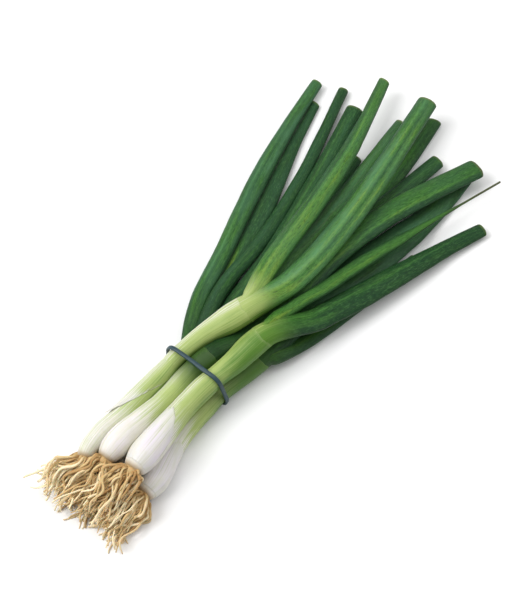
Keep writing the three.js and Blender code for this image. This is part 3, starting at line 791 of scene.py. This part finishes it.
def shaft(node, look, seed):
    """One shaft with its bulb. Gives its strand, which its leaves, roots and skin follow."""
    strand = strand_of(node, True)
    strand["broad"] = look["broad"]
    along = strand["along"] / MM
    tuck = look.get("tuck", 0) * MM * smooth(along, 2, 16) * (1 - smooth(along, 28, 52))
    plump = look.get("plump", 0) * MM * smooth(along, 1, 8) * (1 - smooth(along, 26, 44))
    neck = 0.8 * MM * smooth(along, 22, 40) * (1 - smooth(along, 58, 72))
    strand["centre"][:, 1] -= tuck
    strand["wide"] = strand["wide"] + plump + neck
    length = strand["length"]
    whole, into, inside = grids(shaft_rows(length), SHAFT_COLUMNS)
    around = turn_of(SHAFT_COLUMNS) + np.zeros_like(whole)
    # The rim slants back on top, with a shallow notch.
    end_zone = length - 16 * MM
    near_end = smooth(whole, end_zone, length - 1 * MM)
    top = 0.5 + 0.5 * np.sin(around)
    notch = bell(wrapped(around - 1.9 - 0.8 * math.sin(seed)) / 0.35)
    s = whole - near_end * (3.4 * top + 0.8 * notch + 0.3 * wave(seed, 3 * around, 3)) * MM
    spot, side, up, wide, _ = at(strand, s)
    # The base is rounded off in its first millimetres.
    base = np.sqrt(np.clip(1 - (1 - np.minimum(s / (3.2 * MM), 1)) ** 2 * 0.62, 0.05, 1))
    swell = shaft_swell(seed, s, length, around) - 0.06 * smooth(whole, end_zone, length)
    r = np.maximum(wide * base * swell - into, 0.3 * MM)
    broad = 1 + look["broad"] * smooth(s, 0.45 * length, length - 8 * MM)
    rings = rings_of(spot, side, up, r * broad, r, around)
    rings[..., 2] = np.maximum(rings[..., 2], ON_FLOOR)
    along = whole / MM
    rim = 0.7 * smooth(whole, length - 2.2 * MM, length - 0.2 * MM) + 0.4 * inside
    values = stem_colors(rings[..., 0] / MM, around, along, look)
    values["rim"] = np.clip(rim, 0, 1) * look["rim"]
    values["soil"] = (1 - smooth(along, 0.5, 4)) + 0.06 * (1 - smooth(along, 4, 14))
    values["strip"] = strip_of(around, along + 53.0 * seed)
    made = tube(node + "_look", rings, values, SHAFT)
    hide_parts(node)
    return strand


def stem_colors(x, around, along, look):
    """How green, pink and darkened by painted shade a shaft is at points of it, from x and the distance along
    it.
    """
    low, fade = look.get("low", 0.02), look.get("fade", 0)
    past_bulb = smooth(x, fade - 110, fade - 68)
    past_band = smooth(x, -78, -34)
    green = low + (0.52 - low) * past_bulb
    green = green + (look["green"] - 0.5) * past_band
    # It is greener on one side, at -30 degrees.
    # Painted shade: it is greener, and so darker, on the side at -30 degrees, turned from the light, and
    # paler on the other.
    shaded_side = np.cos(around - math.radians(-30))
    green = green + 0.3 * shaded_side * smooth(x, fade - 106, fade - 66) * smooth(np.abs(shaded_side), 0.1, 0.8)
    pink = look["pink"] * (1 - smooth(x, -110, -80)) * smooth(along, 3, 9)
    # Painted shade: past the band, where this shaft lies under the others, it is darker.
    painted_shade = look.get("painted_shade", 0) * smooth(x, -82, -60)
    return dict(green=np.clip(green, 0, 1), pink=pink, painted_shade=painted_shade)


def skin(name, strand, look, seed, start, stop, middle, spread, lift, bow):
    """A thin skin round part of a shaft, with a torn end. Angles in degrees, distances in millimetres."""
    u = np.linspace(0, 1, SKIN_ROWS)[:, None] + np.zeros(SKIN_COLUMNS)
    v = np.linspace(-1, 1, SKIN_COLUMNS)[None, :] + np.zeros_like(u)
    lifted = lift > 1
    torn = min(1, 0.35 + 0.5 * lift) * (1.6 * wave(seed, 5 * v, 5) + 0.7 * wave(seed + 1, 19 * v, 4))
    tear = math.copysign(1, stop - start) * (1.1 * torn - bow * np.abs(v) ** 1.3)
    s = (start + (stop - start + tear) * u) * MM
    half = math.radians(spread) * (1 + 0.05 * wave(seed + 2, 6 * u, 5) - 0.1 * smooth(u, 0.6, 1))
    around = math.radians(middle) + half * v
    spot, side, up, wide, _ = at(strand, s)
    edge = u ** 3 * bell(v / (0.3 if lifted else 0.6))
    proud = (0.5 - 0.42 * smooth(u, 0.5, 1)) * smooth(u, 0, 0.3)
    r = wide * 1.02 + (proud + lift * edge * (0.8 + 0.2 * wave(seed + 3, 4 * v + 3 * u))) * MM
    front = rings_of(spot, side, up, r, r, around)
    front[..., 2] = np.maximum(front[..., 2], ABOVE_FLOOR)
    inner = r - (0.45 - 0.25 * smooth(u, 0.5, 1)) * MM
    back = rings_of(spot, side, up, inner, inner, around)
    back[..., 2] = np.maximum(back[..., 2], ON_FLOOR)
    values = stem_colors(front[..., 0] / MM, around, s / MM, look)
    values["green"] = values["green"] * (1 - 0.6 * smooth(u, 0.45, 1))
    values["rim"] = 0.1 * smooth(u, 0.9, 1)
    values["soil"] = np.zeros_like(u)
    values["strip"] = strip_of(around, s / MM + 71.0 * seed)
    # One ring goes along the front and comes back along the inside.
    rings = np.concatenate([front, back[:, ::-1]], 1)
    values = {key: np.concatenate([field, field[:, ::-1]], 1) for key, field in values.items()}
    made = tube(name, rings, values, SHAFT)


# Roots

PER_LOCK = 5
LOCK_TURN = 2.39996  # the angle from one lock to the next, in radians, so that locks spread evenly
ASLANT = (0.13, 0.31, 0.94)  # a root's sides are found from this direction, which roots hardly ever have


def bulb_radius(strand):
    return np.interp(BULB_AT, strand["along"], strand["wide"])


def tuft_of(plant, strand):
    """Where a plant's roots start, and how far the solid's roots reach."""
    points, _ = solid_of(plant + "_roots")
    low, high = points.min(0), points.max(0)
    tips = points[points[:, 0] < low[0] + 0.3 * (high[0] - low[0])]
    centre, reach = (tips.max(0) + tips.min(0)) / 2, (tips.max(0) - tips.min(0)) / 2
    spot, side, up, _, _ = at(strand, np.array([-0.5 * MM]))
    behind = -np.cross(up[0], side[0])
    if behind[0] > 0:
        behind = -behind
    tuft = dict(low=low, high=high, centre=centre, reach=reach, behind=behind)
    tuft.update(base=spot[0], side=side[0], up=up[0], bulb=bulb_radius(strand))
    return tuft


def lock_line(random, tuft, lock, locks, t):
    """The middle line of a lock of roots, how long it is, and how far out on the plate it starts."""
    bulb = tuft["bulb"]
    angle = lock * LOCK_TURN + random.uniform(-0.3, 0.3)
    radial = tuft["side"] * math.cos(angle) + tuft["up"] * math.sin(angle)
    out = math.sqrt((lock + 0.5) / locks)
    start = tuft["base"] + radial * out * 0.55 * bulb
    long = (start[0] - tuft["low"][0]) * random.uniform(0.55, 1.0)
    end = tuft["centre"] + tuft["reach"] * (0, 1.15 * random.uniform(-1, 1), random.uniform(-1.0, 0.7))
    end[0] = start[0] - long
    # Outer roots turn out round the plate before they fall back.
    outward = radial * out * bulb
    first = start + outward * random.uniform(0.6, 1.05) + tuft["behind"] * random.uniform(-4, 4) * MM
    second = end + (start - end) * random.uniform(0.3, 0.55) + random.uniform(-1, 1, 3) * (1.5, 5, 3) * MM
    second = second + outward * random.uniform(0.2, 0.8)
    middle = start * (1 - t) ** 3 + 3 * first * t * (1 - t) ** 2
    middle = middle + 3 * second * t ** 2 * (1 - t) + end * t ** 3
    sweep = random.uniform(-1, 1, 3) * (1.2, 3.2, 2.2) * MM
    sweep = sweep * np.sin(t * random.uniform(5, 10) + random.uniform(0, PHASES))
    return middle + sweep * smooth(t, 0.05, 0.5), long, out


def root_path(random, tuft, middle, t):
    """The course and radius of one root beside the middle line of its lock."""
    away = random.normal(0, 1, 3) * (0.5, 0.9, 0.7) * MM
    bend = random.normal(0, 1, 3) * MM * 1.3 * np.sin(t * random.uniform(4, 11) + random.uniform(0, PHASES))
    path = middle + away * (0.8 + 2.0 * t) + bend * smooth(t, 0.1, 0.55)
    ripple = random.normal(0, 1, 3) * MM * 0.45 * np.sin(t * random.uniform(14, 26))
    path = path + ripple * smooth(t, 0.1, 0.4)
    curl = random.normal(0, 1, 3) * (0.6, 1.6, 1.0) * MM * np.sin(t * random.uniform(7, 12))
    path = path + curl * smooth(t, 0.55, 1)
    # Roots end at different lengths, and hang down towards their ends.
    t = t[:, 0]
    stop = random.uniform(0.68, 1)
    path = np.stack([np.interp(t * stop, t, path[:, axis]) for axis in range(3)], 1)
    path[:, 2] -= 3.0 * MM * t ** 2
    thick = random.uniform(0.48, 0.85) * MM * (1 - 0.4 * t ** 4)
    thick = thick * (1 + 0.14 * np.sin(t * random.uniform(12, 30)))
    low, high = tuft["low"], tuft["high"]
    path[:, 0] = np.clip(path[:, 0], low[0] + 0.2 * MM, None)
    path[:, 1] = np.clip(path[:, 1], low[1] - 2.5 * MM, high[1] + 2.5 * MM)
    path[:, 2] = np.clip(path[:, 2], thick, high[2] + 0.5 * MM)
    return path, thick


def root_points(path, thick, around):
    """The points of a root's rings, and then its two ends."""
    ahead = np.gradient(path, axis=0)
    ahead /= np.linalg.norm(ahead, axis=1)[:, None] + 1e-12
    across = unit(np.cross(ahead, ASLANT))
    over = np.cross(across, ahead)
    out = across[:, None] * np.cos(around)[:, None] + over[:, None] * np.sin(around)[:, None]
    rings = path[:, None] + thick[:, None, None] * out
    return np.concatenate([rings.reshape(-1, 3), path[:1], path[-1:]])


def with_ends(values):
    """Values of a root's rings, and then those of its two ends."""
    return np.concatenate([values, values[:1], values[-1:]])


def roots(plant, strand, look, seed):
    """Curling roots in locks, from the plate under a bulb to where the solid's roots end."""
    random = np.random.default_rng(seed)
    tuft = tuft_of(plant, strand)
    t = np.linspace(0, 1, ROOT_STEPS)[:, None]
    around = turn_of(ROOT_SIDES)
    points, faces, root_tone_and_shade, strip = [], [], [], []
    for lock in range(look["locks"]):
        middle, long, out = lock_line(random, tuft, lock, look["locks"], t)
        # Random tone, paler roots for straw, and painted shade that darkens the inner locks deep in the tuft.
        shade = random.uniform(0.25, 0.85) - 0.35 * (1 - out) + look.get("straw", 0)
        for k in range(PER_LOCK):
            path, thick = root_path(random, tuft, middle, t)
            faces += grid_faces(ROOT_STEPS, ROOT_SIDES, len(points) * (ROOT_STEPS * ROOT_SIDES + 2))
            points.append(root_points(path, thick, around))
            # Painted shade: each root is darker near the plate, where the roots crowd, and paler at its tip.
            pale = shade + random.uniform(-0.35, 0.35) - 0.5 * (1 - smooth(t[:, 0], 0.0, 0.45))
            pale = np.clip(pale + 0.25 * smooth(t[:, 0], 0.5, 1), 0, 1)
            root_tone_and_shade.append(with_ends(np.repeat(pale, ROOT_SIDES)))
            mark = strip_of(around, t * long / MM + 11.0 * k + 97.0 * lock)
            strip.append(with_ends(mark.reshape(-1, 3)))
    values = dict(root_tone_and_shade=np.concatenate(root_tone_and_shade), strip=np.concatenate(strip))
    made = link(plant + "_roots_look", np.concatenate(points), faces, values, ROOT)
    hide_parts(plant + "_roots")


def plate(plant, strand, seed):
    """The short brown plate that the roots grow from."""
    around = turn_of(PLATE_COLUMNS)
    s = np.array([-3.0, -2.8, -2.2, -1.2, -0.2, 0.8]) * MM
    size = np.array([0.2, 0.45, 0.6, 0.66, 0.66, 0.6])
    spot, side, up, _, _ = at(strand, s)
    r = bulb_radius(strand) * size[:, None] * (1 + 0.06 * wave(seed, 3 * around, 4))
    rings = rings_of(spot[:, None], side[:, None], up[:, None], r, r, around)
    rings[..., 2] = np.maximum(rings[..., 2], ABOVE_FLOOR)
    strip = strip_of(around, s[:, None] / MM + 9.0 * seed)
    made = tube(plant + "_plate", rings, dict(root_tone_and_shade=np.full(r.shape, 0.25), strip=strip), ROOT)


# The band


def hull(points):
    """Convex outline of points in a plane, anticlockwise."""
    points = points[np.lexsort((points[:, 1], points[:, 0]))]
    halves = []
    for run in (points, points[::-1]):
        chain = []
        for p in run:
            while len(chain) > 1:
                (ax, ay), (bx, by) = chain[-1] - chain[-2], p - chain[-2]
                if ax * by - ay * bx > 0:
                    break
                chain.pop()
            chain.append(p)
        halves += chain[:-1]
    return np.array(halves)


def band_faces():
    """Faces of a ring of rings, which closes on itself."""
    faces = []
    for k in range(BAND_ROWS):
        row, next_row = k * BAND_SIDES, (k + 1) % BAND_ROWS * BAND_SIDES
        for c in range(BAND_SIDES):
            d = (c + 1) % BAND_SIDES
            faces.append((row + c, next_row + c, next_row + d, row + d))
    return faces


def rubber_band():
    points, triangles = solid_of("rubber_band")
    middle = (points[:, 0].min() + points[:, 0].max()) / 2
    outline = hull(cut_at(points, triangles, middle))
    outline = np.concatenate([outline, outline[:1]])
    far = distances(outline)
    s = np.linspace(0, far[-1], BAND_ROWS, endpoint=False)
    loop = np.stack([np.interp(s, far, outline[:, i]) for i in range(2)], 1)
    loop = blur(np.concatenate([loop[-30:], loop, loop[:30]]), 2.5)[30:-30]
    ahead = unit(np.roll(loop, -1, 0) - np.roll(loop, 1, 0))
    out = np.stack([ahead[:, 1], -ahead[:, 0]], 1)
    # It is flat with rounded corners, and rolls and widens a little on its way round.
    turn = turn_of(BAND_SIDES)
    flat = np.sign(np.cos(turn)) * np.abs(np.cos(turn)) ** 0.62 * 1.2 * MM
    tall = np.sign(np.sin(turn)) * np.abs(np.sin(turn)) ** 0.7 * 0.72 * MM
    around = (s / far[-1] * 2 * math.pi)[:, None]
    roll = 0.12 * wave(3, 2 * around, 3)
    width = 1 + 0.07 * wave(5, 3 * around, 4)
    x = middle + 0.25 * MM * wave(7, 2 * around, 3) + width * (flat * np.cos(roll) - tall * np.sin(roll))
    r = -0.75 * MM + flat * np.sin(roll) + tall * np.cos(roll)
    yz = loop[:, None] + out[:, None] * r[..., None]
    rings = np.concatenate([x[..., None], yz], -1)
    rings[..., 2] = np.maximum(rings[..., 2], ABOVE_FLOOR)
    strip = strip_of(turn, s[:, None] / MM)
    made = link("rubber_band_look", rings, band_faces(), dict(strip=strip.reshape(-1, 3)), BAND)
    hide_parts("rubber_band")


for index, (plant, look) in enumerate(PLANTS.items()):
    strand = shaft(plant + "_shaft", look, 10 + index)
    plate(plant, strand, 20 + index)
    roots(plant, strand, look, 30 + index)
    for number, seat in enumerate(SEATS[look["leaves"]], 1):
        node = f"{plant}_leaf_{number}"
        leaf(node, LEAVES[node], look, strand, seat, 40 + 3 * index + number)
    if plant in SKINS:
        skin(plant + "_skin", strand, look, 60 + index, *SKINS[plant])
rubber_band()

# Stage

bpy.ops.mesh.primitive_plane_add(size=6)
floor = bpy.context.object
floor.name = "floor"
floor.data.materials.append(floor_material())


def area(name, place, size, power):
    light = bpy.data.lights.new(name, "AREA")
    light.shape = "DISK"
    light.size = size
    light.energy = power
    made = bpy.data.objects.new(name, light)
    made.location = place
    made.rotation_euler = (-Vector(place)).to_track_quat("-Z", "Y").to_euler()
    bpy.context.scene.collection.objects.link(made)


area("key", (-0.55, 0.75, 1.1), 0.95, 17)
area("fill", (0.9, -0.7, 1.2), 1.2, 8)
area("top", (0.2, 0.4, 1.6), 1.4, 8)

world = bpy.data.worlds.new("studio")
world.use_nodes = True
world.node_tree.nodes["Background"].inputs["Color"].default_value = (1, 1, 1, 1)
world.node_tree.nodes["Background"].inputs["Strength"].default_value = 0.36
bpy.context.scene.world = world
bpy.context.scene.view_settings.view_transform = "Standard"

camera = bpy.data.objects.new("camera", bpy.data.cameras.new("camera"))
camera.data.lens = 85
camera.data.sensor_width = 36
level = math.cos(ELEVATION)
back = Vector((math.sin(AZIMUTH) * level, -math.cos(AZIMUTH) * level, math.sin(ELEVATION)))
camera.location = TARGET + back * DISTANCE
camera.rotation_euler = (-back).to_track_quat("-Z", "Y").to_euler()
bpy.context.scene.collection.objects.link(camera)
bpy.context.scene.camera = camera
